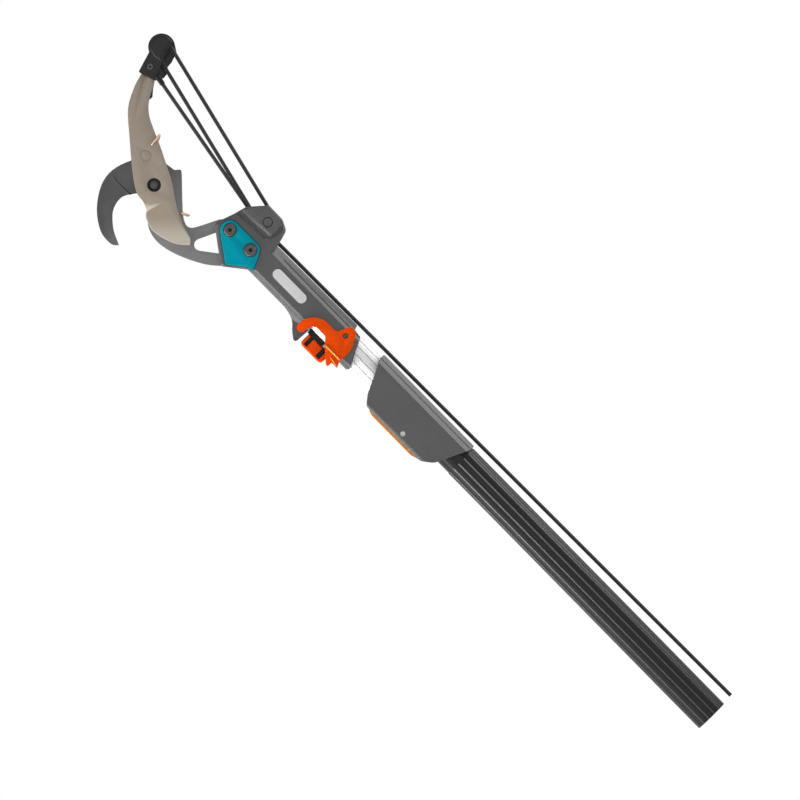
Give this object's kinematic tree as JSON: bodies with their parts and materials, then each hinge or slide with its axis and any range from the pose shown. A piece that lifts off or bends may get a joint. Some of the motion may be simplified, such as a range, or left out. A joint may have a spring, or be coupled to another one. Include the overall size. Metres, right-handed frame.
{
  "type": "tree pruner pole",
  "caption": "Telescopic pole with a hooked bypass pruning head, worked by a cord over a block and tackle of sheaves, with a spring return and a quick lock",
  "frame": {"origin": "centre of the outer tube's lower end", "axes": "+Z along the pole to the cutting head, +X to the cord side, +Y to the back"},
  "size_m": [0.1917, 0.0448, 0.8933],
  "materials": {
    "black_tube": "black anodised, satin",
    "bare_tube": "natural anodised, satin",
    "grey_plastic": "fine grained",
    "black_plastic": "smooth, satin",
    "hook_steel": "dark non-stick coating",
    "blade_steel": "tan grey non-stick coating, ground edge",
    "teal_plate": "satin",
    "orange_plastic": "smooth, satin",
    "spring_steel": "copper toned wire",
    "steel": "plated",
    "dark_steel": "blackened",
    "cord": "braided"
  },
  "bodies": {
    "pole": {"outer_tube": "black_tube", "guide_bush": "black_plastic", "clamp_body": "grey_plastic", "wiper_ring": "black_plastic", "release_pin": "steel", "lock_spring": "steel"},
    "release": {"release_lever": "orange_plastic", "brake_shoe": "black_plastic"},
    "head": {"inner_tube": "bare_tube", "tube_glide": "black_plastic", "head_housing": "grey_plastic", "side_plate": "teal_plate", "hook_blade": "hook_steel", "plate_screws": "steel", "plate_nuts": "steel", "sheave_axle": "dark_steel", "pivot_bolt": "dark_steel", "pivot_washer": "steel", "pivot_nut": "steel", "return_spring": "spring_steel", "lock_pins": "dark_steel", "housing_wraps": "cord", "pull_cord": "cord"},
    "lever": {"blade_lever": "blade_steel", "lever_head_front": "grey_plastic", "lever_head_back": "grey_plastic", "head_screw": "steel", "head_nut": "steel", "lever_axle": "steel", "cord_anchor": "black_plastic", "lever_wrap": "cord"},
    "sheave_front": {"front_sheave": "black_plastic"},
    "sheave_rear": {"rear_sheave": "black_plastic"},
    "sheave_lever": {"lever_sheave": "black_plastic"},
    "lock": {"lock_lever": "orange_plastic"},
    "latch": {"latch_slide": "black_plastic", "latch_button": "orange_plastic", "latch_bolt": "steel"},
    "strand_pair": {"tackle_pair": "cord"},
    "strand_lead": {"tackle_lead": "cord"}
  },
  "joints": [
    {"name": "pole_extend", "type": "slide", "parent": "pole", "child": "head", "axis": [0, 0, 1], "range_m": [0, 0.26]},
    {"name": "blade_pivot", "type": "hinge", "parent": "head", "child": "lever", "pos_m": [-0.0258, 0, 0.7847], "axis": [0, 1, 0], "range_deg": [0, 62], "stiffness_Nm_per_rad": 1, "springref_deg": -60.16, "deforming": ["return_spring", "tackle_pair", "tackle_lead", "lever_wrap", "housing_wraps"]},
    {"name": "front_sheave_spin", "type": "hinge", "parent": "head", "child": "sheave_front", "pos_m": [0.0303, 0, 0.6761], "axis": [0, 1, 0], "continuous": true},
    {"name": "rear_sheave_spin", "type": "hinge", "parent": "head", "child": "sheave_rear", "pos_m": [0.0303, 0, 0.6761], "axis": [0, 1, 0], "continuous": true},
    {"name": "lever_sheave_spin", "type": "hinge", "parent": "lever", "child": "sheave_lever", "pos_m": [0.0783, -0.0043, 0.8796], "axis": [0, 1, 0], "continuous": true},
    {"name": "strand_pair_swing", "type": "hinge", "parent": "head", "child": "strand_pair", "pos_m": [0.0303, 0, 0.6761], "axis": [0, 1, 0], "range_deg": [0, 40]},
    {"name": "strand_lead_swing", "type": "hinge", "parent": "head", "child": "strand_lead", "pos_m": [0.0303, 0, 0.6761], "axis": [0, 1, 0], "range_deg": [0, 30]},
    {"name": "lock_lever_turn", "type": "hinge", "parent": "head", "child": "lock", "pos_m": [0.0053, 0, 0.5379], "axis": [0, -1, 0], "range_deg": [0, 15]},
    {"name": "latch_slide", "type": "slide", "parent": "head", "child": "latch", "axis": [-1, 0, 0], "range_m": [0, 0.0046]},
    {"name": "release_press", "type": "hinge", "parent": "pole", "child": "release", "pos_m": [-0.023, 0, 0.426], "axis": [0, -1, 0], "range_deg": [0, 4], "stiffness_Nm_per_rad": 2, "springref_deg": -5.73, "deforming": ["lock_spring"]}
  ],
  "couplings": [
    {"joint": "strand_pair_swing", "follows": "blade_pivot", "ratio": 0.615},
    {"joint": "strand_lead_swing", "follows": "blade_pivot", "ratio": 0.401},
    {"joint": "latch_slide", "follows": "lock_lever_turn", "m_per_rad": 0.017189}
  ]
}
